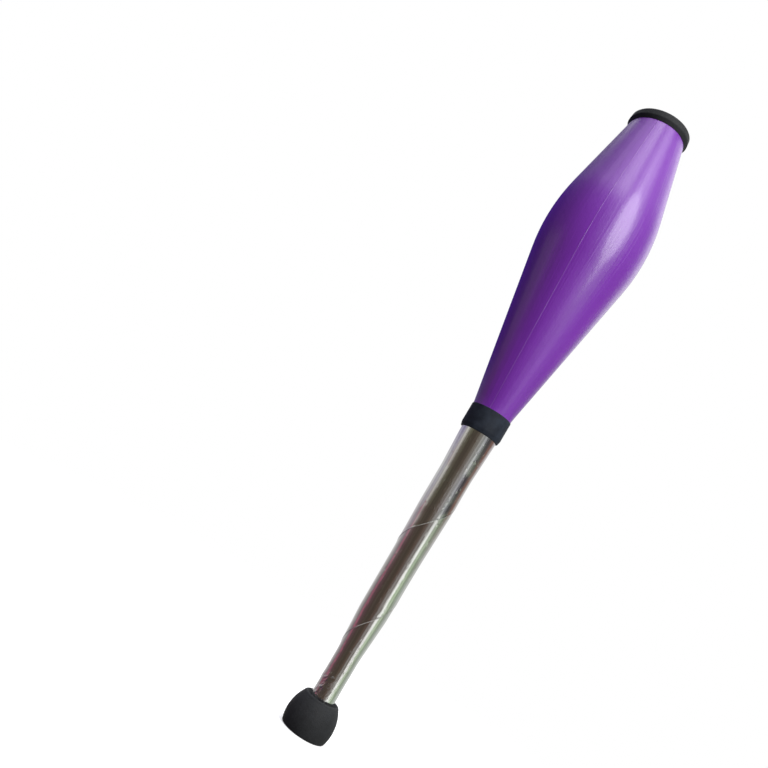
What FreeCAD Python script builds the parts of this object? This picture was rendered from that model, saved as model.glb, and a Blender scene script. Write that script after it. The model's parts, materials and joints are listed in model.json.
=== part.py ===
"""A juggling club, 520 mm long, in millimetres.

The club stands on its knob: the origin is the centre of the knob's flat base and
+Z runs up the club's axis to the cap. A wooden core runs the whole length. The
knob is screwed to its lower end and the cap to its upper end, and the two screws
clamp the handle and the hollow body between them.
"""

import FreeCAD, Part
import os
import re
import Sketcher

SHEET = "Dimensions"

DIMENSIONS = {
    "club_length": 520.0,
    # knob, soft foam
    "knob_height": 25.8,
    "knob_base_radius": 17.0,
    "knob_base_chamfer": 0.6,
    "knob_bulge_rounding": 28.0,
    "knob_shoulder_radius": 13.8,
    "knob_shoulder_drop": 1.5,
    "knob_lip_radius": 12.2,
    "knob_lip_rounding": 2.2,
    "knob_mouth_radius": 9.9,
    "knob_mouth_depth": 2.8,
    "knob_web_height": 4.0,
    "knob_socket_height": 9.0,
    # wooden core, its two end screws and their washers
    "core_radius": 6.0,
    "screw_radius": 2.0,
    "screw_length": 32.0,
    "screw_tip_length": 4.0,
    "screw_head_radius": 4.0,
    "screw_head_height": 2.2,
    "screw_head_edge": 0.8,
    "slot_half_length": 2.4,
    "slot_half_width": 0.55,
    "slot_depth": 1.4,
    "washer_radius": 7.4,
    "washer_thickness": 1.2,
    "recess_radius": 8.0,
    # handle tube, and the pieces that centre it on the core
    "tube_foot_radius": 8.05,
    "tube_taper_height": 50.0,
    "tube_head_radius": 12.6,
    "tube_head_height": 240.0,
    "tube_top_height": 262.0,
    "tube_wall": 1.15,
    "bush_length": 12.0,
    "spacer_length": 14.0,
    # mirror film on the handle
    "film_thickness": 0.25,
    "film_top_height": 254.0,
    # collar band and body
    "collar_height": 240.0,
    "collar_top_height": 258.4,
    "collar_radius": 15.95,
    "collar_foot_radius": 15.2,
    "collar_taper_height": 3.0,
    "collar_lip_thickness": 0.8,
    "tail_radius": 15.2,
    "tail_bore_radius": 14.0,
    "belly_height": 417.0,
    "belly_radius": 43.6,
    "belly_rounding": 155.0,
    "body_wall": 2.2,
    "crown_height": 511.7,
    "crown_radius": 23.0,
    # neck bush and crown hub, inside the body
    "neck_bush_length": 18.0,
    "neck_flange_radius": 13.9,
    "neck_flange_thickness": 4.0,
    "hub_radius": 9.0,
    "hub_flange_radius": 16.0,
    "hub_flange_thickness": 5.0,
    # cap, soft foam
    "cap_rim_radius": 24.8,
    "cap_rim_rise": 3.0,
    "cap_top_radius": 24.2,
    "cap_edge": 0.7,
    "cap_recess_depth": 4.0,
}

# Outside of the mirror film: height up the club, radius. The padding under it is
# uneven, so the grip swells and waists on its way up.
GRIP_STATIONS = [
    (9.0, 8.8),
    (60.0, 8.8),
    (92.0, 10.9),
    (140.0, 11.4),
    (176.0, 12.5),
    (208.0, 12.65),
    (238.0, 14.0),
]

SPACER_HEIGHTS = {"lower_spacer": 80.0, "middle_spacer": 140.0, "upper_spacer": 200.0}

# Where the underside of each screw's head bears on its washer.
KNOB_SEAT = "knob_web_height - washer_thickness"
CAP_SEAT = "club_length - cap_recess_depth + washer_thickness"

VERTICAL_AXIS = -2
HORIZONTAL_AXIS = -1
ORIGIN_POINT = (-1, 1)
ZERO = 1e-9
NEAR = 1e-3


def fill_sheet(doc):
    """Put every driving dimension in the sheet, one row each, with its alias."""
    sheet = doc.addObject("Spreadsheet::Sheet", SHEET)
    rows = dict(DIMENSIONS)
    for number, (height, radius) in enumerate(GRIP_STATIONS):
        rows[f"grip_height_{number}"] = height
        rows[f"grip_radius_{number}"] = radius
    for name, height in SPACER_HEIGHTS.items():
        rows[f"{name}_height"] = height
    for row, (alias, value) in enumerate(rows.items(), start=1):
        sheet.set(f"A{row}", alias)
        sheet.set(f"B{row}", str(value))
        sheet.setAlias(f"B{row}", alias)
    doc.recompute()


def bound(words):
    """An expression written with bare aliases, with the sheet's name before each."""
    return re.sub(r"[a-z]\w*", lambda alias: f"{SHEET}.{alias.group()}", words)


def attach(sketch, body, role):
    """Lay a sketch on one of its own body's origin planes."""
    plane = next(f for f in body.Origin.OriginFeatures if f.Role == role)
    sketch.AttachmentSupport = [(plane, "")]
    sketch.MapMode = "FlatFace"


def arc_between(start, finish, radius):
    """The short arc from start to finish that swells to the right of the way."""
    chord = finish - start
    aside = FreeCAD.Vector(chord.y, -chord.x, 0).normalize()
    rise = radius - (radius**2 - (chord.Length / 2) ** 2) ** 0.5
    return Part.Arc(start, (start + finish) / 2 + aside * rise, finish)


def end_at(sketch, edge, point):
    """Which end of an edge, 1 or 2, lies at a point."""
    return min((1, 2), key=lambda end: (sketch.getPoint(edge, end) - point).Length)


def pin_corner(sketch, edge, end, corner):
    """Hold one end of an edge at its two expressions, across and up."""
    axes = (VERTICAL_AXIS, HORIZONTAL_AXIS)
    for kind, axis, words in zip(("DistanceX", "DistanceY"), axes, corner):
        value = sketch.evalExpression(bound(words))
        if abs(value) < ZERO:
            sketch.addConstraint(Sketcher.Constraint("PointOnObject", edge, end, axis))
        else:
            rule = Sketcher.Constraint(kind, *ORIGIN_POINT, edge, end, value)
            number = sketch.addConstraint(rule)
            sketch.setExpression(f"Constraints[{number}]", bound(words))


def draw_outline(sketch, corners, rounds):
    """Draw a closed outline through the corners. rounds gives some edges, by number,
    the radius of an arc that swells to the right of the way."""
    points = []
    for corner in corners:
        across, up = (sketch.evalExpression(bound(words)) for words in corner)
        points.append(FreeCAD.Vector(across, up, 0))
    for edge, start in enumerate(points):
        finish = points[(edge + 1) % len(points)]
        if edge in rounds:
            radius = sketch.evalExpression(bound(rounds[edge]))
            sketch.addGeometry(arc_between(start, finish, radius), False)
        else:
            sketch.addGeometry(Part.LineSegment(start, finish), False)
    for edge, corner in enumerate(corners):
        before = (edge - 1) % len(corners)
        end = end_at(sketch, edge, points[edge])
        other = end_at(sketch, before, points[edge])
        sketch.addConstraint(Sketcher.Constraint("Coincident", before, other, edge, end))
        pin_corner(sketch, edge, end, corner)
    for edge, words in rounds.items():
        value = sketch.evalExpression(bound(words))
        number = sketch.addConstraint(Sketcher.Constraint("Radius", edge, value))
        sketch.setExpression(f"Constraints[{number}]", bound(words))


def turned_body(doc, label, corners, rounds=None):
    """A body of revolution about +Z from an outline of (radius, height) corners."""
    body = doc.addObject("PartDesign::Body", label)
    sketch = body.newObject("Sketcher::SketchObject", f"{label}_outline")
    attach(sketch, body, "XZ_Plane")
    draw_outline(sketch, corners, rounds or {})
    turn = body.newObject("PartDesign::Revolution", f"{label}_turn")
    turn.Profile = sketch
    turn.ReferenceAxis = (sketch, ["V_Axis"])
    turn.Angle = 360
    doc.recompute()
    return body


def ring(doc, label, bore, rim, bottom, top):
    """A plain ring of constant bore and rim radius between two heights."""
    corners = [(bore, bottom), (rim, bottom), (rim, top), (bore, top)]
    return turned_body(doc, label, corners)


def is_circle_at(edge, radius, height):
    """Whether an edge is a circle about the axis of this radius at this height."""
    circle = edge.Curve
    if not isinstance(circle, Part.Circle):
        return False
    return abs(circle.Radius - radius) < NEAR and abs(circle.Center.z - height) < NEAR


def round_edge(doc, body, label, radius, height, rounding):
    """Round the circular edge that lies at this radius and height."""
    base = body.Tip
    place = [base.evalExpression(bound(words)) for words in (radius, height)]
    edges = enumerate(base.Shape.Edges, start=1)
    names = [f"Edge{number}" for number, edge in edges if is_circle_at(edge, *place)]
    fillet = body.newObject("PartDesign::Fillet", label)
    fillet.Base = (base, names)
    fillet.setExpression("Radius", bound(rounding))
    doc.recompute()


def make_knob(doc):
    """Foam knob: screw recess in a flat base, bulging side, mouth round the handle."""
    corners = [
        ("recess_radius", "0"),
        ("knob_base_radius - knob_base_chamfer", "0"),
        ("knob_base_radius", "knob_base_chamfer"),
        ("knob_shoulder_radius", "knob_height - knob_shoulder_drop"),
        ("knob_lip_radius", "knob_height"),
        ("knob_mouth_radius", "knob_height - knob_mouth_depth"),
        ("grip_radius_0", "knob_height - knob_mouth_depth"),
        ("grip_radius_0", "knob_socket_height"),
        ("screw_radius", "knob_socket_height"),
        ("screw_radius", "knob_web_height"),
        ("recess_radius", "knob_web_height"),
    ]
    rounds = {2: "knob_bulge_rounding", 3: "knob_lip_rounding"}
    turned_body(doc, "knob", corners, rounds)


def make_wood_core(doc):
    """Full-length dowel with a pilot hole for a screw in each end."""
    low_tip = f"{KNOB_SEAT} + screw_length"
    high_tip = f"{CAP_SEAT} - screw_length"
    corners = [
        ("0", low_tip),
        ("screw_radius", f"{low_tip} - screw_tip_length"),
        ("screw_radius", "knob_socket_height"),
        ("core_radius", "knob_socket_height"),
        ("core_radius", "crown_height"),
        ("screw_radius", "crown_height"),
        ("screw_radius", f"{high_tip} + screw_tip_length"),
        ("0", high_tip),
    ]
    turned_body(doc, "wood_core", corners)


def make_handle_tube(doc):
    """Moulded tube: straight in the knob, tapered under the grip, straight in the body."""
    corners = [
        ("tube_foot_radius", "knob_socket_height"),
        ("tube_foot_radius", "tube_taper_height"),
        ("tube_head_radius", "tube_head_height"),
        ("tube_head_radius", "tube_top_height"),
        ("tube_head_radius - tube_wall", "tube_top_height"),
        ("tube_head_radius - tube_wall", "tube_head_height"),
        ("tube_foot_radius - tube_wall", "tube_taper_height"),
        ("tube_foot_radius - tube_wall", "knob_socket_height"),
    ]
    turned_body(doc, "handle_tube", corners)


def grip_outline(inset):
    """Corners up the outside of the grip, set in from the film's surface."""
    outline = [
        (f"grip_radius_{number} - {inset}", f"grip_height_{number}")
        for number in range(len(GRIP_STATIONS))
    ]
    outline.append((f"grip_radius_{len(GRIP_STATIONS) - 1} - {inset}", "film_top_height"))
    return outline


def make_grip_padding(doc):
    """Foam wrapped round the tube; its uneven thickness gives the grip its outline."""
    corners = grip_outline("film_thickness")
    corners += [
        ("tube_head_radius", "film_top_height"),
        ("tube_head_radius", "tube_head_height"),
        ("tube_foot_radius", "tube_taper_height"),
        ("tube_foot_radius", "knob_socket_height"),
    ]
    turned_body(doc, "grip_padding", corners)


def make_mirror_film(doc):
    """Mirror film wound over the padding, as one thin skin."""
    corners = grip_outline("0") + grip_outline("film_thickness")[::-1]
    turned_body(doc, "mirror_film", corners)


def tube_bore(height):
    """Radius of the tube's tapered bore at a height, as an expression."""
    taper = "(tube_head_radius - tube_foot_radius) / (tube_head_height - tube_taper_height)"
    return f"tube_foot_radius - tube_wall + ({height} - tube_taper_height) * {taper}"


def make_spacers(doc):
    """Foam rings that centre the tapered tube on the core."""
    for label in SPACER_HEIGHTS:
        bottom = f"{label}_height - spacer_length / 2"
        top = f"{label}_height + spacer_length / 2"
        corners = [
            ("core_radius", bottom),
            (tube_bore(f"({bottom})"), bottom),
            (tube_bore(f"({top})"), top),
            ("core_radius", top),
        ]
        turned_body(doc, label, corners)


def make_end_bush(doc):
    """Sleeve that centres the foot of the handle tube on the core, inside the knob."""
    foot = "knob_socket_height"
    bore = "tube_foot_radius - tube_wall"
    ring(doc, "end_bush", "core_radius", bore, foot, f"{foot} + bush_length")


def make_neck_bush(doc):
    """Flanged bush that centres the head of the handle tube in the body's tail."""
    plug_radius = "tube_head_radius - tube_wall"
    corners = [
        ("core_radius", "tube_top_height - neck_bush_length"),
        (plug_radius, "tube_top_height - neck_bush_length"),
        (plug_radius, "tube_top_height"),
        ("neck_flange_radius", "tube_top_height"),
        ("neck_flange_radius", "tube_top_height + neck_flange_thickness"),
        ("core_radius", "tube_top_height + neck_flange_thickness"),
    ]
    turned_body(doc, "neck_bush", corners)


def make_collar_band(doc):
    """Rubber band round the body's tail, turned in under the tail's end."""
    lip_top = "collar_height + collar_lip_thickness"
    corners = [
        ("tail_bore_radius", "collar_height"),
        ("collar_foot_radius", "collar_height"),
        ("collar_radius", "collar_height + collar_taper_height"),
        ("collar_radius", "collar_top_height"),
        ("tail_radius", "collar_top_height"),
        ("tail_radius", lip_top),
        ("tail_bore_radius", lip_top),
    ]
    turned_body(doc, "collar_band", corners)


def make_body_shell(doc):
    """Hollow blow-moulded body: tail, long cone, rounded belly, short cone, flat crown."""
    tail_end = "collar_height + collar_lip_thickness"
    corners = [
        ("tail_bore_radius", tail_end),
        ("tail_radius", tail_end),
        ("tail_radius", "collar_top_height"),
        ("belly_radius", "belly_height"),
        ("crown_radius", "crown_height"),
        ("hub_radius", "crown_height"),
        ("hub_radius", "crown_height - body_wall"),
        ("crown_radius - body_wall", "crown_height - body_wall"),
        ("belly_radius - body_wall", "belly_height"),
        ("tail_bore_radius", "tube_top_height"),
    ]
    body = turned_body(doc, "body_shell", corners)
    for side, inset in (("outer", ""), ("inner", " - body_wall")):
        label = f"body_shell_{side}_belly"
        place = (f"belly_radius{inset}", "belly_height")
        round_edge(doc, body, label, *place, f"belly_rounding{inset}")


def make_crown_hub(doc):
    """Flanged hub that carries the upper end of the core in the hole of the crown."""
    ceiling = "crown_height - body_wall"
    corners = [
        ("core_radius", f"{ceiling} - hub_flange_thickness"),
        ("hub_flange_radius", f"{ceiling} - hub_flange_thickness"),
        ("hub_flange_radius", ceiling),
        ("hub_radius", ceiling),
        ("hub_radius", "crown_height"),
        ("core_radius", "crown_height"),
    ]
    turned_body(doc, "crown_hub", corners)


def make_top_cap(doc):
    """Foam cap: a disc bevelled outwards to its rim, with a screw recess in its top."""
    corners = [
        ("screw_radius", "crown_height"),
        ("crown_radius", "crown_height"),
        ("cap_rim_radius", "crown_height + cap_rim_rise"),
        ("cap_top_radius", "club_length - cap_edge"),
        ("cap_top_radius - cap_edge", "club_length"),
        ("recess_radius", "club_length"),
        ("recess_radius", "club_length - cap_recess_depth"),
        ("screw_radius", "club_length - cap_recess_depth"),
    ]
    turned_body(doc, "top_cap", corners)


def cut_cross_slot(doc, body, label):
    """Cut a cross-shaped driver slot down into the top of a screw's head."""
    sketch = body.newObject("Sketcher::SketchObject", f"{label}_slot_outline")
    attach(sketch, body, "XY_Plane")
    sketch.setExpression("AttachmentOffset.Base.z", bound("screw_head_height"))
    far, near = "slot_half_length", "slot_half_width"
    quarter = [(far, near), (near, near), (near, far)]
    corners = []
    for signs in (("", ""), ("-", ""), ("-", "-"), ("", "-")):
        arm = [tuple(s + words for s, words in zip(signs, corner)) for corner in quarter]
        corners += arm if signs[0] == signs[1] else arm[::-1]
    draw_outline(sketch, corners, {})
    solid_volume = body.Tip.Shape.Volume
    pocket = body.newObject("PartDesign::Pocket", f"{label}_slot")
    pocket.Profile = sketch
    pocket.setExpression("Length", bound("slot_depth"))
    doc.recompute()
    if not pocket.Shape.Volume < solid_volume:
        raise RuntimeError(f"the slot of {label} cuts nothing")


def make_end_fasteners(doc):
    """A wood screw and its washer at each end; the lower pair hangs upside down."""
    upright = FreeCAD.Rotation()
    upside_down = FreeCAD.Rotation(FreeCAD.Vector(1, 0, 0), 180)
    ends = (("knob", KNOB_SEAT, upside_down), ("top", CAP_SEAT, upright))
    for end, seat, rotation in ends:
        screw = turned_body(doc, f"{end}_screw", [
            ("0", "-screw_length"),
            ("screw_radius", "screw_tip_length - screw_length"),
            ("screw_radius", "0"),
            ("screw_head_radius", "0"),
            ("screw_head_radius", "screw_head_height - screw_head_edge"),
            ("screw_head_radius - screw_head_edge", "screw_head_height"),
            ("0", "screw_head_height"),
        ])
        cut_cross_slot(doc, screw, f"{end}_screw")
        span = ("-washer_thickness", "0")
        washer = ring(doc, f"{end}_washer", "screw_radius", "washer_radius", *span)
        for body in (screw, washer):
            body.Placement = FreeCAD.Placement(FreeCAD.Vector(), rotation)
            body.setExpression("Placement.Base.z", bound(seat))


def check(doc, bodies):
    """Stop unless every object recomputed well and every piece is one valid solid."""
    for thing in doc.Objects:
        if {"Invalid", "Error"} & set(thing.State):
            raise RuntimeError(f"{thing.Label} failed: {thing.State}")
    for body in bodies:
        shape = body.Shape
        if shape.isNull() or not shape.isValid() or len(shape.Solids) != 1:
            raise RuntimeError(f"{body.Label} isn't one valid solid")


def export(bodies):
    """Write each piece to parts/, in a file of its own name."""
    os.makedirs("parts", exist_ok=True)
    for body in bodies:
        body.Shape.exportStep(f"parts/{body.Label}.step")


def main():
    doc = FreeCAD.newDocument("juggling_club")
    fill_sheet(doc)
    make_knob(doc)
    make_wood_core(doc)
    make_end_fasteners(doc)
    make_end_bush(doc)
    make_handle_tube(doc)
    make_spacers(doc)
    make_grip_padding(doc)
    make_mirror_film(doc)
    make_neck_bush(doc)
    make_body_shell(doc)
    make_collar_band(doc)
    make_crown_hub(doc)
    make_top_cap(doc)
    doc.recompute()
    bodies = [thing for thing in doc.Objects if thing.TypeId == "PartDesign::Body"]
    check(doc, bodies)
    export(bodies)


main()
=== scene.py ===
import json
import math

import bmesh
import bpy
import numpy as np
from mathutils import Matrix, Vector, noise


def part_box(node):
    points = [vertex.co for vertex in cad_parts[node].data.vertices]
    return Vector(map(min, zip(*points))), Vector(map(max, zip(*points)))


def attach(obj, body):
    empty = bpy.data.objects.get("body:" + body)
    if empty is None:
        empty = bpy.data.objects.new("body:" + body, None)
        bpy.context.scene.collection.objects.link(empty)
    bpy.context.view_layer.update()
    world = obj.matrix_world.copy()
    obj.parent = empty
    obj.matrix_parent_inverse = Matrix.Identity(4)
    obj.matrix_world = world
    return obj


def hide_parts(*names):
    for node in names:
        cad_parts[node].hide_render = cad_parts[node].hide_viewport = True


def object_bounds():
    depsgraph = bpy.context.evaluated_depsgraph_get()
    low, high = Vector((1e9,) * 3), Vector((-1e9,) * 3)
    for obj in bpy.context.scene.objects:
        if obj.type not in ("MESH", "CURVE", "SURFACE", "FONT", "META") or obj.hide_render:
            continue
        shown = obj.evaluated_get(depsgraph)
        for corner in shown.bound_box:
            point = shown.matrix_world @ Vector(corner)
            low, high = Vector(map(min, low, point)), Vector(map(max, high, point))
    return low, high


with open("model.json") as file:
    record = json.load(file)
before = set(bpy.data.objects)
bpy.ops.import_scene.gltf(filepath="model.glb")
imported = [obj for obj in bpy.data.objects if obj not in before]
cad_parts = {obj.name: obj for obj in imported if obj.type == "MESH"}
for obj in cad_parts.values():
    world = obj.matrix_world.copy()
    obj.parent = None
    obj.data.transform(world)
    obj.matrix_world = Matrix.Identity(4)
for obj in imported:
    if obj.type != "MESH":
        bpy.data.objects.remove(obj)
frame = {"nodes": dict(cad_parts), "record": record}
cad_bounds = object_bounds()

MM = 0.001

# The camera, in metres, and how far it is rolled so that the club leans in the picture.
CAMERA_PLACE = (0.0, -0.583, 0.153)
CAMERA_AIM = (-0.07915, 0.0, 0.2365)
CAMERA_ROLL = math.radians(31.79)
CAMERA_LENS = 37.5

# Azimuths are measured round the club from the side that faces the camera, -Y,
# towards +X. One of the body's parting lines is here, the other opposite.
PARTING_AZIMUTH = math.radians(-11.5)

# The film's spiral: its climb in each turn, the height of one lapped edge at azimuth 0,
# and the height at which its edges begin to fade out.
WINDING_PITCH = 79 * MM
WINDING_START = 86 * MM
WINDING_TOP = 205 * MM

# The room that the club reflects, in bands from the floor up. Each band's colours are
# placed by azimuth, in degrees. The room is dark towards the camera, with a bright
# window to the camera's right, coloured strips beside both, pale walls behind the club,
# and lamps above.
GROUND = (
    (-180, (0.60, 0.60, 0.60)),
    (-150, (0.50, 0.50, 0.50)),
    (-125, (0.05, 0.05, 0.08)),
    (-60, (0.03, 0.03, 0.06)),
    (-20, (0.05, 0.04, 0.04)),
    (0, (0.40, 0.39, 0.38)),
    (14, (0.12, 0.11, 0.11)),
    (40, (0.16, 0.15, 0.15)),
    (50, (0.95, 0.95, 0.93)),
    (76, (0.90, 0.90, 0.88)),
    (86, (0.14, 0.15, 0.14)),
    (104, (0.18, 0.19, 0.18)),
    (116, (0.62, 0.64, 0.62)),
    (150, (0.30, 0.30, 0.30)),
    (180, (0.60, 0.60, 0.60)),
)
LOW_WALLS = (
    (-180, (0.85, 0.85, 0.85)),
    (-150, (0.62, 0.60, 0.61)),
    (-130, (0.42, 0.39, 0.40)),
    (-108, (0.31, 0.28, 0.29)),
    (-100, (0.20, 0.16, 0.17)),
    (-94, (0.16, 0.10, 0.12)),
    (-89, (0.42, 0.15, 0.21)),
    (-81, (0.38, 0.13, 0.19)),
    (-76, (0.13, 0.075, 0.085)),
    (-61, (0.105, 0.065, 0.067)),
    (-40, (0.07, 0.052, 0.042)),
    (-33, (0.095, 0.075, 0.062)),
    (-27, (0.065, 0.05, 0.04)),
    (-8, (0.074, 0.056, 0.043)),
    (4, (0.11, 0.076, 0.062)),
    (14, (0.115, 0.085, 0.075)),
    (28, (0.34, 0.32, 0.31)),
    (32, (0.16, 0.14, 0.13)),
    (41, (0.20, 0.18, 0.17)),
    (46, (1.08, 1.09, 1.06)),
    (60, (1.08, 1.10, 1.07)),
    (65, (0.40, 0.48, 0.34)),
    (71, (0.36, 0.46, 0.30)),
    (75, (0.66, 0.74, 0.60)),
    (81, (0.56, 0.66, 0.50)),
    (86, (0.27, 0.34, 0.23)),
    (98, (0.30, 0.35, 0.27)),
    (104, (0.50, 0.54, 0.48)),
    (112, (0.30, 0.35, 0.30)),
    (126, (0.60, 0.64, 0.60)),
    (150, (0.54, 0.56, 0.53)),
    (180, (0.85, 0.85, 0.85)),
)
HIGH_WALLS = (
    (-180, (0.90, 0.90, 0.90)),
    (-150, (0.60, 0.58, 0.60)),
    (-125, (0.60, 0.59, 0.63)),
    (-112, (0.33, 0.31, 0.35)),
    (-98, (0.50, 0.48, 0.53)),
    (-88, (0.30, 0.29, 0.30)),
    (-80, (0.62, 0.61, 0.58)),
    (-74, (0.58, 0.57, 0.53)),
    (-66, (0.20, 0.19, 0.16)),
    (-48, (0.12, 0.112, 0.08)),
    (-34, (0.06, 0.05, 0.038)),
    (-27, (0.085, 0.07, 0.055)),
    (-20, (0.062, 0.052, 0.04)),
    (-6, (0.10, 0.082, 0.066)),
    (6, (0.12, 0.10, 0.083)),
    (14, (0.26, 0.24, 0.22)),
    (19, (0.15, 0.135, 0.125)),
    (26, (0.24, 0.22, 0.21)),
    (33, (0.44, 0.43, 0.43)),
    (38, (0.22, 0.22, 0.22)),
    (46, (0.34, 0.34, 0.35)),
    (54, (0.46, 0.46, 0.49)),
    (58, (0.22, 0.22, 0.24)),
    (64, (0.20, 0.20, 0.22)),
    (69, (0.07, 0.065, 0.07)),
    (79, (0.07, 0.065, 0.07)),
    (92, (0.10, 0.08, 0.08)),
    (104, (0.22, 0.13, 0.11)),
    (116, (0.22, 0.13, 0.11)),
    (126, (0.40, 0.36, 0.35)),
    (150, (0.64, 0.61, 0.63)),
    (180, (0.90, 0.90, 0.90)),
)
UPPER_WALLS = (
    (-180, (0.60, 0.60, 0.64)),
    (-150, (0.25, 0.25, 0.32)),
    (-100, (0.06, 0.07, 0.20)),
    (-60, (0.05, 0.06, 0.12)),
    (-20, (0.12, 0.11, 0.12)),
    (20, (0.40, 0.40, 0.40)),
    (36, (0.80, 0.80, 0.80)),
    (58, (0.40, 0.40, 0.40)),
    (70, (0.16, 0.16, 0.16)),
    (110, (0.24, 0.24, 0.24)),
    (140, (1.60, 1.60, 1.60)),
    (180, (0.60, 0.60, 0.64)),
)
CEILING = (
    (-180, (0.80, 0.80, 0.80)),
    (-150, (1.20, 1.22, 1.26)),
    (-132, (1.00, 1.02, 1.08)),
    (-112, (0.10, 0.10, 0.14)),
    (-85, (0.14, 0.14, 0.17)),
    (-60, (0.50, 0.50, 0.50)),
    (-44, (0.36, 0.36, 0.36)),
    (-28, (0.56, 0.56, 0.56)),
    (-14, (1.25, 1.25, 1.25)),
    (6, (1.25, 1.25, 1.25)),
    (15, (0.10, 0.10, 0.10)),
    (28, (0.10, 0.10, 0.10)),
    (37, (0.82, 0.82, 0.82)),
    (60, (0.78, 0.78, 0.78)),
    (72, (0.05, 0.05, 0.05)),
    (92, (0.06, 0.06, 0.06)),
    (106, (0.30, 0.30, 0.30)),
    (130, (0.64, 0.64, 0.64)),
    (180, (0.80, 0.80, 0.80)),
)
ZENITH = (
    (-180, (1.00, 1.00, 1.00)),
    (180, (1.00, 1.00, 1.00)),
)

# Each band takes over from the one below it between two elevations, in degrees:
# (low, high, brightness, colours).
ROOM = (
    (-90, -90, 1.0, GROUND),
    (-30, -16, 1.0, LOW_WALLS),
    (-4, 4, 1.0, HIGH_WALLS),
    (10, 14, 1.0, UPPER_WALLS),
    (40, 48, 3.7, CEILING),
    (66, 74, 0.9, ZENITH),
)

# The lamp, whose highlight runs down the body. Its place is an azimuth, a distance from
# the axis and a height, in metres.
SOFTBOX_AZIMUTH = math.radians(37)
SOFTBOX_DISTANCE = 1.0
SOFTBOX_HEIGHT = 0.88
SOFTBOX_WIDTH, SOFTBOX_LENGTH = 0.64, 1.0
SOFTBOX_POWER = 12.0

# The dark panel behind the body. Its middle is a share of the way up the body, and its
# edges begin to fade at a share of its half width and half height.
FLAG_AZIMUTH = math.radians(-134)
FLAG_DISTANCE = 0.16
FLAG_HALF_WIDTH = 0.16
FLAG_HEIGHT_TO_BODY = 1.35
FLAG_MIDDLE = 0.62
FLAG_FADE_START = 0.55
FLAG_COLOUR = (0.030, 0.010, 0.240, 1)

# The floor, in metres. It lies just below the club, so that the two faces don't meet.
FLOOR_RADIUS = 1.2
FLOOR_DROP = 0.05 * MM
FLOOR_FADE = (0.10, 0.55)
FLOOR_GLOW = 0.35


# ------------------------------------------------------------ outlines and meshes


def section(node):
    """The outline of a round CAD piece: ordered (radius, height) points, in metres,
    read from its own mesh, with the material on the left of the way."""
    mesh = bmesh.new()
    mesh.from_mesh(frame["nodes"][node].data)
    bmesh.ops.remove_doubles(mesh, verts=mesh.verts, dist=0.001 * MM)
    joined = {}
    for edge in mesh.edges:
        if all(abs(vert.co.y) < 0.001 * MM and vert.co.x > 0 for vert in edge.verts):
            first, second = edge.verts
            joined.setdefault(first, []).append(second)
            joined.setdefault(second, []).append(first)
    here = min(joined, key=lambda vert: (vert.co.z, vert.co.x))
    loop = []
    while here is not None:
        loop.append(here)
        ahead = [vert for vert in joined[here] if vert not in loop]
        here = ahead[0] if ahead else None
    points = np.array([(vert.co.x, vert.co.z) for vert in loop])
    mesh.free()
    after = np.roll(points, -1, axis=0)
    area = np.sum(points[:, 0] * after[:, 1] - after[:, 0] * points[:, 1])
    return points if area > 0 else points[::-1]


def rounded(points, radius):
    """Round the corners of a closed outline: sharp ones to a radius, and the slight
    ones, which only stand for a curve, as widely as their sides allow."""
    slight = math.radians(20)
    result = []
    count = len(points)
    for number, corner in enumerate(points):
        back = points[number - 1] - corner
        ahead = points[(number + 1) % count] - corner
        back_length, ahead_length = np.hypot(*back), np.hypot(*ahead)
        back, ahead = back / back_length, ahead / ahead_length
        turn = math.pi - math.acos(np.clip(back @ ahead, -1, 1))
        room = 0.5 * min(back_length, ahead_length)
        cut = room if turn < slight else min(room, radius * math.tan(turn / 2))
        start, finish = corner + back * cut, corner + ahead * cut
        pieces = 2 + math.ceil(math.degrees(turn) / 12)
        for t in np.linspace(0, 1, pieces + 1):
            result.append((1 - t) ** 2 * start + 2 * t * (1 - t) * corner + t**2 * finish)
    result = np.array(result)
    apart = np.hypot(*(result - np.roll(result, 1, axis=0)).T)
    return result[apart > 0.04 * MM]


def turned(angle):
    """An angle brought to between -pi and pi."""
    return (angle + math.pi) % (2 * math.pi) - math.pi


def spaced(points, outside, inside):
    """Divide the sides of a closed outline into steps: sides that face outwards into
    one length, the others into another."""
    result = []
    for start, finish in zip(points, np.roll(points, -1, axis=0)):
        side = finish - start
        length = np.hypot(*side)
        step = outside if side[1] / length > 0.1 else inside
        pieces = max(1, math.ceil(length / step))
        result += [start + side * k / pieces for k in range(pieces)]
    return np.array(result)


def crowded(azimuths, lines, offsets):
    """Azimuths for a mesh's columns, with columns at these offsets on both sides of each
    line, in place of the even ones near it."""
    reach = max(offsets)
    kept = [a for a in azimuths if all(abs(turned(a - line)) > reach * 1.2 for line in lines)]
    sides = [side * offset for offset in offsets for side in (-1, 1)]
    near = [turned(line + side) for line in lines for side in sides]
    return np.unique(np.round(kept + near, 7))


def evenly(count):
    """Azimuths of the columns of a turned mesh, all the way round."""
    return np.linspace(-math.pi, math.pi, count, endpoint=False)


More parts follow.
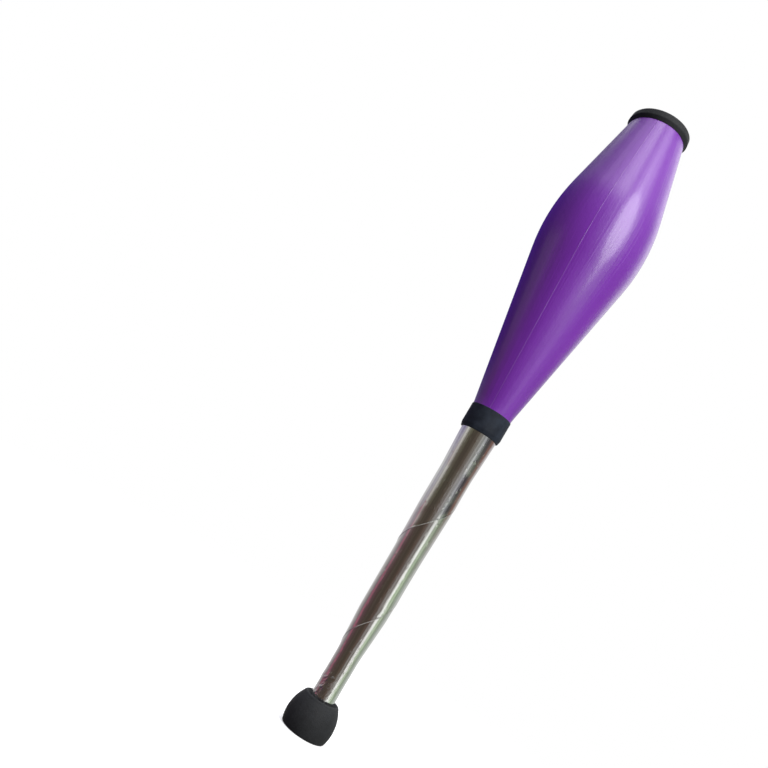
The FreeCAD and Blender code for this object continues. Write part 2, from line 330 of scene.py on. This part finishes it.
def lathe(name, outline, azimuths, relief, twist=0.0):
    """A closed mesh turned from a closed outline. relief(azimuth, radius, height)
    gives how far the surface stands proud of the outline, along its normal. The
    columns of the mesh turn about the axis by twist radians a metre."""
    along = np.roll(outline, -1, axis=0) - np.roll(outline, 1, axis=0)
    along /= np.hypot(along[:, 0], along[:, 1])[:, None]
    radius, azimuth = np.meshgrid(outline[:, 0], azimuths, indexing="ij")
    height = np.repeat(outline[:, 1:], len(azimuths), axis=1)
    azimuth = azimuth + twist * height
    proud = relief(azimuth, radius, height)
    radius = radius + proud * along[:, 1:]
    height = height - proud * along[:, :1]
    points = np.stack([radius * np.sin(azimuth), -radius * np.cos(azimuth), height], axis=-1)
    rows, columns = radius.shape
    index = np.arange(rows * columns).reshape(rows, columns)
    up, aside = np.roll(index, -1, axis=0), np.roll(index, -1, axis=1)
    corner = np.roll(up, -1, axis=1)
    faces = np.stack([index, aside, corner, up], axis=-1).reshape(-1, 4)
    mesh = bpy.data.meshes.new(name)
    mesh.from_pydata(points.reshape(-1, 3).tolist(), [], faces.tolist())
    mesh.polygons.foreach_set("use_smooth", [True] * len(faces))
    mesh.update()
    piece = bpy.data.objects.new(name, mesh)
    bpy.context.scene.collection.objects.link(piece)
    return piece


def stand_in(piece, node, material):
    """Let a piece stand for a CAD node: give it a material, attach it to the root and hide the node.
    """
    piece.data.materials.append(material)
    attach(piece, "root")
    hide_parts(node)


def bump_at(distance, width):
    """A smooth bump of height 1 and about this half width."""
    return np.exp(-((distance / width) ** 2))


def ramp(value, low, high):
    """A smooth rise from 0 at low to 1 at high."""
    t = np.clip((value - low) / (high - low), 0, 1)
    return t * t * (3 - 2 * t)


def waves(azimuth, height, counts, seed, drift):
    """Lengthwise waves round the club, drifting a little with height, about 1 high."""
    rng = np.random.default_rng(seed)
    total = np.zeros_like(azimuth)
    for count in counts:
        phase, lean = rng.uniform(0, 2 * math.pi), rng.uniform(-drift, drift)
        total += rng.uniform(0.5, 1) * np.sin(count * azimuth + phase + lean * height)
    return total / len(counts) ** 0.5


def grain(azimuth, radius, height, across, along):
    """Smooth noise over a turned surface, with cells of this size across and along."""
    points = np.stack(
        [radius * np.sin(azimuth) / across, radius * np.cos(azimuth) / across, height / along],
        axis=-1,
    )
    values = [noise.noise(point) for point in points.reshape(-1, 3)]
    return np.array(values).reshape(azimuth.shape)


# ------------------------------------------------------------------- the materials


class Tree:
    """A node tree, with short calls that add nodes and join them."""

    def __init__(self, tree):
        self.tree = tree

    def add(self, kind, **settings):
        node = self.tree.nodes.new(f"ShaderNode{kind}")
        for name, value in settings.items():
            setattr(node, name, value)
        return node

    def join(self, output, target):
        self.tree.links.new(output, target)

    def math(self, operation, first, second=None):
        """The result of a Math node, whose values are sockets or numbers."""
        node = self.add("Math", operation=operation)
        for socket, value in zip(node.inputs, (first, second)):
            if isinstance(value, bpy.types.NodeSocket):
                self.join(value, socket)
            elif value is not None:
                socket.default_value = value
        return node.outputs[0]

    def spread(self, value, low, high, to_low, to_high):
        """Map a value from one range to another, without going past its ends."""
        node = self.add("MapRange")
        self.join(value, node.inputs["Value"])
        for name, number in zip(
            ("From Min", "From Max", "To Min", "To Max"), (low, high, to_low, to_high)
        ):
            node.inputs[name].default_value = number
        return node.outputs["Result"]

    def split(self, vector):
        """The X, Y and Z of a vector."""
        node = self.add("SeparateXYZ")
        self.join(vector, node.inputs[0])
        return node.outputs

    def colours(self, value, *stops):
        """A colour ramp from (place, colour) stops."""
        node = self.add("ValToRGB")
        self.join(value, node.inputs["Fac"])
        while len(node.color_ramp.elements) < len(stops):
            node.color_ramp.elements.new(0.5)
        for element, (where, colour) in zip(node.color_ramp.elements, stops):
            element.position = where
            element.color = (*colour, 1)
        return node.outputs["Color"]


class Surface(Tree):
    """A material's node tree, with the patterns that materials share."""

    def __init__(self, name):
        self.material = bpy.data.materials.new(name)
        self.material.use_nodes = True
        super().__init__(self.material.node_tree)
        self.shader = self.tree.nodes["Principled BSDF"]

    def put(self, values):
        """Set constants on the shader's own sockets, by their names."""
        for name, value in values.items():
            self.shader.inputs[name].default_value = value

    def position(self):
        """The place on the object, in metres."""
        return self.add("TexCoord").outputs["Object"]

    def stretched(self, *scale):
        """The place on the object, stretched by a scale."""
        mapping = self.add("Mapping")
        mapping.inputs["Scale"].default_value = scale
        self.join(self.position(), mapping.inputs["Vector"])
        return mapping.outputs["Vector"]

    def round_position(self, around, along):
        """A place on a round piece: the direction from the axis, and the height.
        around is how fine a pattern is about the axis, along how fine it is upwards."""
        parts = self.split(self.position())
        flat = self.add("CombineXYZ")
        self.join(parts["X"], flat.inputs["X"])
        self.join(parts["Y"], flat.inputs["Y"])
        unit = self.add("VectorMath", operation="NORMALIZE")
        self.join(flat.outputs[0], unit.inputs[0])
        wide = self.add("VectorMath", operation="SCALE")
        self.join(unit.outputs[0], wide.inputs[0])
        wide.inputs["Scale"].default_value = around
        tall = self.add("CombineXYZ")
        self.join(self.math("MULTIPLY", parts["Z"], along), tall.inputs["Z"])
        both = self.add("VectorMath", operation="ADD")
        self.join(wide.outputs[0], both.inputs[0])
        self.join(tall.outputs[0], both.inputs[1])
        return both.outputs[0]

    def noise(self, vector, detail, roughness=0.5):
        """Smooth noise whose largest cells are one unit of the vector wide."""
        node = self.add("TexNoise")
        self.join(vector, node.inputs["Vector"])
        for name, value in (("Scale", 1.0), ("Detail", detail), ("Roughness", roughness)):
            node.inputs[name].default_value = value
        return node.outputs["Fac"]

    def bump(self, *layers):
        """Chain bumps, each a (value, depth in metres), into the shader's normal."""
        normal = None
        for value, depth in layers:
            node = self.add("Bump")
            node.inputs["Distance"].default_value = depth
            self.join(value, node.inputs["Height"])
            if normal:
                self.join(normal, node.inputs["Normal"])
            normal = node.outputs["Normal"]
        self.join(normal, self.shader.inputs["Normal"])

    def show(self, share, first, second):
        """Show a mix of two shaders, by the share of the second."""
        mix = self.add("MixShader")
        self.join(share, mix.inputs["Fac"])
        self.join(first.outputs[0], mix.inputs[1])
        self.join(second.outputs[0], mix.inputs[2])
        output = next(node for node in self.tree.nodes if node.type == "OUTPUT_MATERIAL")
        self.join(mix.outputs[0], output.inputs["Surface"])


def purple_plastic():
    """Blow-moulded polyethylene: satin gloss, with fine streaks drawn lengthwise, and a painted
    highlight along the parting lines: a paler colour that stands in for the glint on their raised
    flash."""
    nodes = Surface("purple_plastic")
    tint = nodes.noise(nodes.round_position(2.2, 9), detail=4)
    colour = nodes.colours(tint, (0.3, (0.163, 0.020, 0.355)), (0.7, (0.196, 0.027, 0.414)))
    # How far a place is from the plane through the axis and both parting lines.
    across = nodes.add("VectorMath", operation="DOT_PRODUCT")
    nodes.join(nodes.position(), across.inputs[0])
    across.inputs[1].default_value = (math.cos(PARTING_AZIMUTH), math.sin(PARTING_AZIMUTH), 0)
    from_line = nodes.math("ABSOLUTE", across.outputs["Value"])
    # Painted highlight: within 0.1-0.3 mm of the parting lines the base colour is mixed up to 14%
    # towards pale lilac. This stands in for the glint on the raised flash.
    painted_seam_highlight = nodes.add("Mix", data_type="RGBA")
    nodes.join(nodes.spread(from_line, 0.1 * MM, 0.3 * MM, 0.14, 0), painted_seam_highlight.inputs["Factor"])
    nodes.join(colour, painted_seam_highlight.inputs["A"])
    painted_seam_highlight.inputs["B"].default_value = (0.62, 0.42, 0.78, 1)
    nodes.join(painted_seam_highlight.outputs["Result"], nodes.shader.inputs["Base Color"])
    streaks = nodes.noise(nodes.round_position(30, 8), detail=5, roughness=0.65)
    nodes.join(nodes.spread(streaks, 0.3, 0.7, 0.32, 0.42), nodes.shader.inputs["Roughness"])
    peel = nodes.noise(nodes.stretched(900, 900, 500), detail=2)
    nodes.bump((streaks, 0.28 * MM), (peel, 0.03 * MM))
    nodes.put({"IOR": 1.5, "Coat Weight": 0.6, "Coat Roughness": 0.18})
    return nodes.material


def mirror_film():
    """Metallised film: a mirror with faint scuffs, fine ripples and a warm tint,
    crumpled just above the knob, more on its -X side."""
    nodes = Surface("mirror_film")
    tint = nodes.noise(nodes.round_position(1.6, 30), detail=3)
    nodes.join(
        nodes.colours(tint, (0.35, (0.80, 0.77, 0.78)), (0.65, (0.84, 0.86, 0.82))),
        nodes.shader.inputs["Base Color"],
    )
    scuffs = nodes.noise(nodes.stretched(260, 260, 90), detail=5, roughness=0.65)
    nodes.join(nodes.spread(scuffs, 0.55, 0.8, 0.0, 0.06), nodes.shader.inputs["Roughness"])
    draws = nodes.noise(nodes.round_position(16, 5), detail=4, roughness=0.6)
    pimples = nodes.noise(nodes.stretched(650, 650, 420), detail=2)
    dents = nodes.noise(nodes.stretched(520, 520, 170), detail=1)
    nicks = nodes.spread(dents, 0.62, 0.74, 0, 1)
    wrinkles = nodes.noise(nodes.stretched(700, 700, 560), detail=2)
    folds = nodes.math("ABSOLUTE", nodes.math("SUBTRACT", wrinkles, 0.5))
    parts = nodes.split(nodes.position())
    knob_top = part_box("knob")[1][2]
    low = nodes.spread(parts["Z"], knob_top + 6 * MM, knob_top + 42 * MM, 1, 0)
    left = nodes.spread(parts["X"], -4 * MM, 5 * MM, 1, 0.15)
    crumpled = nodes.math("MULTIPLY", folds, nodes.math("MULTIPLY", low, left))
    nodes.bump(
        (draws, 0.07 * MM), (pimples, 0.003 * MM), (nicks, 0.05 * MM), (crumpled, 0.35 * MM)
    )
    nodes.put({"Metallic": 1.0})
    return nodes.material


def black_foam():
    """Closed-cell foam: matt black, slightly lumpy, with a fine skin of cut cells."""
    nodes = Surface("black_foam")
    cells = nodes.add("TexVoronoi", feature="F1")
    nodes.join(nodes.stretched(1400, 1400, 1400), cells.inputs["Vector"])
    cells.inputs["Scale"].default_value = 1.0
    mottle = nodes.noise(nodes.stretched(220, 220, 220), detail=6, roughness=0.75)
    nodes.join(
        nodes.colours(mottle, (0.35, (0.0070, 0.0078, 0.0095)), (0.65, (0.0160, 0.0176, 0.0202))),
        nodes.shader.inputs["Base Color"],
    )
    nodes.join(nodes.spread(mottle, 0.3, 0.7, 0.70, 0.84), nodes.shader.inputs["Roughness"])
    lumps = nodes.noise(nodes.stretched(420, 420, 420), detail=3)
    nodes.bump((lumps, 0.16 * MM), (cells.outputs["Distance"], 0.12 * MM))
    nodes.put({"Specular IOR Level": 0.45})
    return nodes.material


def black_band():
    """Rubber tape: blue-black and matt, slightly lumpy, with a fine weave."""
    nodes = Surface("black_band")
    mottle = nodes.noise(nodes.stretched(160, 160, 160), detail=4)
    nodes.join(
        nodes.colours(mottle, (0.35, (0.010, 0.0135, 0.022)), (0.65, (0.021, 0.0275, 0.041))),
        nodes.shader.inputs["Base Color"],
    )
    nodes.join(nodes.spread(mottle, 0.3, 0.7, 0.62, 0.76), nodes.shader.inputs["Roughness"])
    weave = nodes.noise(nodes.stretched(1500, 1500, 1100), detail=2)
    lumps = nodes.noise(nodes.stretched(260, 260, 260), detail=3)
    nodes.bump((lumps, 0.10 * MM), (weave, 0.05 * MM))
    nodes.put({"Specular IOR Level": 0.2})
    return nodes.material


def plain(name, low, high, roughness, fineness, metallic):
    """An inner piece's material: a base colour with a fine mottle and a slight bump."""
    nodes = Surface(name)
    mottle = nodes.noise(nodes.stretched(*fineness), detail=4)
    nodes.join(nodes.colours(mottle, (0.3, low), (0.7, high)), nodes.shader.inputs["Base Color"])
    rough = nodes.spread(mottle, 0.3, 0.7, roughness - 0.06, roughness + 0.06)
    nodes.join(rough, nodes.shader.inputs["Roughness"])
    nodes.bump((mottle, 0.02 * MM))
    nodes.put({"Metallic": metallic})
    return nodes.material


# ---------------------------------------------------------------------- the pieces


def make_body(material):
    """The hollow body, with its two raised parting lines and lengthwise waviness."""
    lines = [PARTING_AZIMUTH, PARTING_AZIMUTH + math.pi]
    azimuths = crowded(evenly(250), lines, np.radians([0, 0.12, 0.25, 0.4, 0.6, 0.9, 1.4]))
    collar_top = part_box("collar_band")[1][2]

    def relief(azimuth, radius, height):
        proud = 0.02 * MM * waves(azimuth, height, (7, 11, 16, 23, 31), seed=4, drift=6)
        proud += 0.10 * MM * waves(azimuth, height, (2, 3, 4), seed=9, drift=14)
        for line in lines:
            distance = turned(azimuth - line) * radius
            broken = 1 + 0.7 * grain(azimuth, radius, height, 9 * MM, 9 * MM)
            ridge = bump_at(distance, 0.22 * MM) * ramp(height, collar_top, collar_top + 25 * MM)
            proud += 0.11 * MM * broken * ridge
        return proud * ramp(height, collar_top, collar_top + 6 * MM)

    outline = spaced(rounded(section("body_shell"), 0.5 * MM), 1.7 * MM, 10 * MM)
    piece = lathe("body", outline, azimuths, relief)
    stand_in(piece, "body_shell", material)


def make_film(material):
    """The film on the handle: a strip wound in a spiral, with one lapped edge a turn,
    crumpled where it runs into the knob, more on its -X side."""
    knob_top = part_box("knob")[1][2]
    twist = 2 * math.pi / WINDING_PITCH

    def relief(azimuth, radius, height):
        turns = (height - WINDING_START) / WINDING_PITCH - azimuth / (2 * math.pi)
        past_edge = (turns % 1.0) * WINDING_PITCH
        lifted = 1 + 0.8 * grain(azimuth, radius, height, 5 * MM, 5 * MM)
        lap = 0.16 * MM * ramp(past_edge, 0, 0.3 * MM) * (1 - ramp(past_edge, 1 * MM, 13 * MM))
        lap += 0.08 * MM * lifted * bump_at(past_edge - 0.5 * MM, 0.4 * MM)
        proud = lap * (1 - ramp(height, WINDING_TOP, WINDING_TOP + 8 * MM))
        proud += 0.010 * MM * waves(azimuth, height, (3, 5, 8, 13, 21), seed=2, drift=40)
        folds = 1 - 3 * np.abs(grain(azimuth, radius, height, 2.6 * MM, 3.4 * MM))
        patches = ramp(grain(azimuth, radius, height, 7 * MM, 7 * MM), -0.15, 0.1)
        low = 1 - ramp(height, knob_top + 8 * MM, knob_top + 32 * MM)
        left = 1 - 0.85 * ramp(np.sin(azimuth), -0.4, 0.5)
        return proud + 0.24 * MM * folds * patches * low * left

    edge = -WINDING_START * twist
    offsets = np.array([0, 0.15, 0.3, 0.5, 0.75, 1.1, 1.7, 2.6]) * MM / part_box("mirror_film")[1][0]
    azimuths = crowded(evenly(180), [turned(edge)], offsets)
    outline = spaced(rounded(section("mirror_film"), 0.1 * MM), 0.8 * MM, 3 * MM)
    piece = lathe("handle_film", outline, azimuths, relief, twist)
    stand_in(piece, "mirror_film", material)


def make_collar(material):
    """The band round the body's tail, with the lapped end of its tape."""

    def relief(azimuth, radius, height):
        from_end = turned(azimuth - math.radians(150)) * radius
        lap = ramp(from_end, 0, 0.4 * MM) * (1 - ramp(from_end, 9 * MM, 12 * MM))
        return 0.25 * MM * lap + 0.05 * MM * waves(azimuth, height, (2, 3, 5), seed=5, drift=60)

    outline = spaced(rounded(section("collar_band"), 0.3 * MM), 1 * MM, 1 * MM)
    piece = lathe("collar", outline, evenly(200), relief)
    stand_in(piece, "collar_band", material)


def make_foam(name, node, corner, material, seed):
    """A turned foam piece with softened corners and a slightly uneven skin, whose flat
    ends stay flat."""
    low, top = (point[2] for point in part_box(node))

    def relief(azimuth, radius, height):
        proud = 0.10 * MM * waves(azimuth, height, (2, 3, 5), seed=seed, drift=80)
        proud += 0.05 * MM * grain(azimuth, radius, height, 4 * MM, 4 * MM)
        return proud * ramp(height, low, low + 2 * MM) * ramp(top - height, 0, 2 * MM)

    outline = spaced(rounded(section(node), corner), 0.8 * MM, 0.8 * MM)
    piece = lathe(name, outline, evenly(180), relief)
    stand_in(piece, node, material)


def finish_inner_pieces():
    """Give every CAD piece that stays a material of its own slot."""
    looks = (
        # slot, darkest colour, palest colour, roughness, fineness along X, Y, Z, metallic
        ("beech", (0.42, 0.24, 0.12), (0.60, 0.38, 0.20), 0.6, (500, 500, 30), 0),
        ("tube_plastic", (0.68, 0.68, 0.64), (0.76, 0.76, 0.72), 0.45, (90, 90, 90), 0),
        ("bush_plastic", (0.012, 0.012, 0.012), (0.020, 0.020, 0.020), 0.5, (150, 150, 150), 0),
        ("spacer_foam", (0.04, 0.04, 0.04), (0.07, 0.07, 0.07), 0.9, (900, 900, 900), 0),
        ("padding_foam", (0.55, 0.55, 0.52), (0.66, 0.66, 0.63), 0.9, (900, 900, 900), 0),
        ("screw_steel", (0.34, 0.34, 0.32), (0.46, 0.46, 0.44), 0.28, (700, 700, 700), 1),
        ("washer_steel", (0.30, 0.30, 0.29), (0.42, 0.42, 0.41), 0.36, (500, 500, 500), 1),
    )
    materials = {look[0]: plain(*look) for look in looks}
    for part in frame["record"]["subparts"]:
        material = materials.get(part["material_slot"])
        if material:
            data = frame["nodes"][part["node"]].data
            data.materials.clear()
            data.materials.append(material)


# ---------------------------------------------------------------------- the studio


def make_camera():
    """The camera, at the photograph's viewing angle."""
    camera = bpy.data.objects.new("camera", bpy.data.cameras.new("camera"))
    bpy.context.scene.collection.objects.link(camera)
    bpy.context.scene.camera = camera
    way = Vector(CAMERA_AIM) - Vector(CAMERA_PLACE)
    facing = way.to_track_quat("-Z", "Y").to_matrix().to_4x4()
    roll = Matrix.Rotation(CAMERA_ROLL, 4, "Z")
    camera.matrix_world = Matrix.Translation(CAMERA_PLACE) @ facing @ roll
    camera.data.lens = CAMERA_LENS
    camera.data.sensor_width = 36


def make_room():
    """The light all round the club. The camera itself sees white behind it."""
    world = bpy.data.worlds.new("room")
    bpy.context.scene.world = world
    world.use_nodes = True
    tree = Tree(world.node_tree)
    tree.tree.nodes.clear()
    way = tree.split(tree.add("TexCoord").outputs["Generated"])
    azimuth = tree.math("ARCTAN2", way["X"], tree.math("MULTIPLY", way["Y"], -1.0))
    turn = tree.math("ADD", tree.math("DIVIDE", azimuth, 2 * math.pi), 0.5)
    light = None
    for low, high, gain, stops in ROOM:
        places = [(degrees / 360 + 0.5, colour) for degrees, colour in stops]
        bright = tree.add("VectorMath", operation="SCALE")
        tree.join(tree.colours(turn, *places), bright.inputs[0])
        bright.inputs["Scale"].default_value = gain
        if light:
            rise = [math.sin(math.radians(elevation)) for elevation in (low, high)]
            mix = tree.add("Mix", data_type="VECTOR")
            tree.join(tree.spread(way["Z"], *rise, 0, 1), mix.inputs["Factor"])
            tree.join(light, mix.inputs["A"])
            tree.join(bright.outputs[0], mix.inputs["B"])
            light = mix.outputs["Result"]
        else:
            light = bright.outputs[0]
    lit = tree.add("Background")
    tree.join(light, lit.inputs["Color"])
    white = tree.add("Background")
    white.inputs["Color"].default_value = (1, 1, 1, 1)
    seen = tree.add("LightPath")
    mix = tree.add("MixShader")
    tree.join(seen.outputs["Is Camera Ray"], mix.inputs["Fac"])
    tree.join(lit.outputs[0], mix.inputs[1])
    tree.join(white.outputs[0], mix.inputs[2])
    output = tree.add("OutputWorld")
    tree.join(mix.outputs[0], output.inputs["Surface"])


def make_floor():
    """A pale round floor that fades into the white round it."""
    bpy.ops.mesh.primitive_circle_add(vertices=96, radius=FLOOR_RADIUS, fill_type="NGON")
    floor = bpy.context.object
    floor.name = "floor"
    floor.location.z = cad_bounds[0][2] - FLOOR_DROP
    floor.visible_glossy = False
    floor.visible_diffuse = False
    nodes = Surface("floor")
    nodes.put({
        "Base Color": (0.8, 0.8, 0.8, 1),
        "Roughness": 0.9,
        "Emission Color": (1, 1, 1, 1),
        "Emission Strength": FLOOR_GLOW,
    })
    length = nodes.add("VectorMath", operation="LENGTH")
    nodes.join(nodes.position(), length.inputs[0])
    fade = nodes.spread(length.outputs["Value"], *FLOOR_FADE, 0, 1)
    nodes.show(fade, nodes.shader, nodes.add("BsdfTransparent"))
    floor.data.materials.append(nodes.material)


def off_axis(azimuth, distance, height):
    """A place at this azimuth, distance from the axis and height."""
    return Vector((distance * math.sin(azimuth), -distance * math.cos(azimuth), height))


def make_softbox():
    """A large soft lamp to the right of the camera and above it, aimed at the middle of
    the body."""
    light = bpy.data.lights.new("softbox", "AREA")
    light.shape = "ELLIPSE"
    light.size, light.size_y = SOFTBOX_WIDTH, SOFTBOX_LENGTH
    light.energy = SOFTBOX_POWER
    lamp = bpy.data.objects.new("softbox", light)
    bpy.context.scene.collection.objects.link(lamp)
    place = off_axis(SOFTBOX_AZIMUTH, SOFTBOX_DISTANCE, SOFTBOX_HEIGHT)
    aim = Vector((0, 0, 0.5 * sum(corner[2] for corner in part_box("body_shell"))))
    facing = (aim - place).to_track_quat("-Z", "Y").to_matrix().to_4x4()
    lamp.matrix_world = Matrix.Translation(place) @ facing
    lamp.visible_camera = False


def make_flag():
    """A dark panel behind the body on its left, with soft edges, which only the gloss
    sees: it keeps that side of the body deep in colour, as a neighbouring club does."""
    body_low, body_top = (corner[2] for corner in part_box("body_shell"))
    body_height = body_top - body_low
    bpy.ops.mesh.primitive_plane_add(size=2)
    flag = bpy.context.object
    flag.name = "flag"
    flag.location = off_axis(FLAG_AZIMUTH, FLAG_DISTANCE, body_low + FLAG_MIDDLE * body_height)
    flag.rotation_euler = (math.radians(90), 0, FLAG_AZIMUTH)
    flag.scale = (FLAG_HALF_WIDTH, 0.5 * body_height * FLAG_HEIGHT_TO_BODY, 1)
    flag.visible_camera = False
    flag.visible_diffuse = False
    flag.visible_shadow = False
    nodes = Surface("flag")
    parts = nodes.split(nodes.position())
    edges = [
        nodes.spread(nodes.math("ABSOLUTE", parts[side]), FLAG_FADE_START, 1, 1, 0)
        for side in "XY"
    ]
    dark = nodes.add("Emission")
    dark.inputs["Color"].default_value = FLAG_COLOUR
    nodes.show(nodes.math("MULTIPLY", *edges), nodes.add("BsdfTransparent"), dark)
    flag.data.materials.append(nodes.material)


# ------------------------------------------------------------------- making it all


foam = black_foam()
make_camera()
make_room()
make_softbox()
make_floor()
make_flag()
make_body(purple_plastic())
make_film(mirror_film())
make_collar(black_band())
make_foam("foam_knob", "knob", 0.4 * MM, foam, seed=11)
make_foam("foam_cap", "top_cap", 0.35 * MM, foam, seed=12)
finish_inner_pieces()
bpy.context.scene.view_settings.view_transform = "Standard"
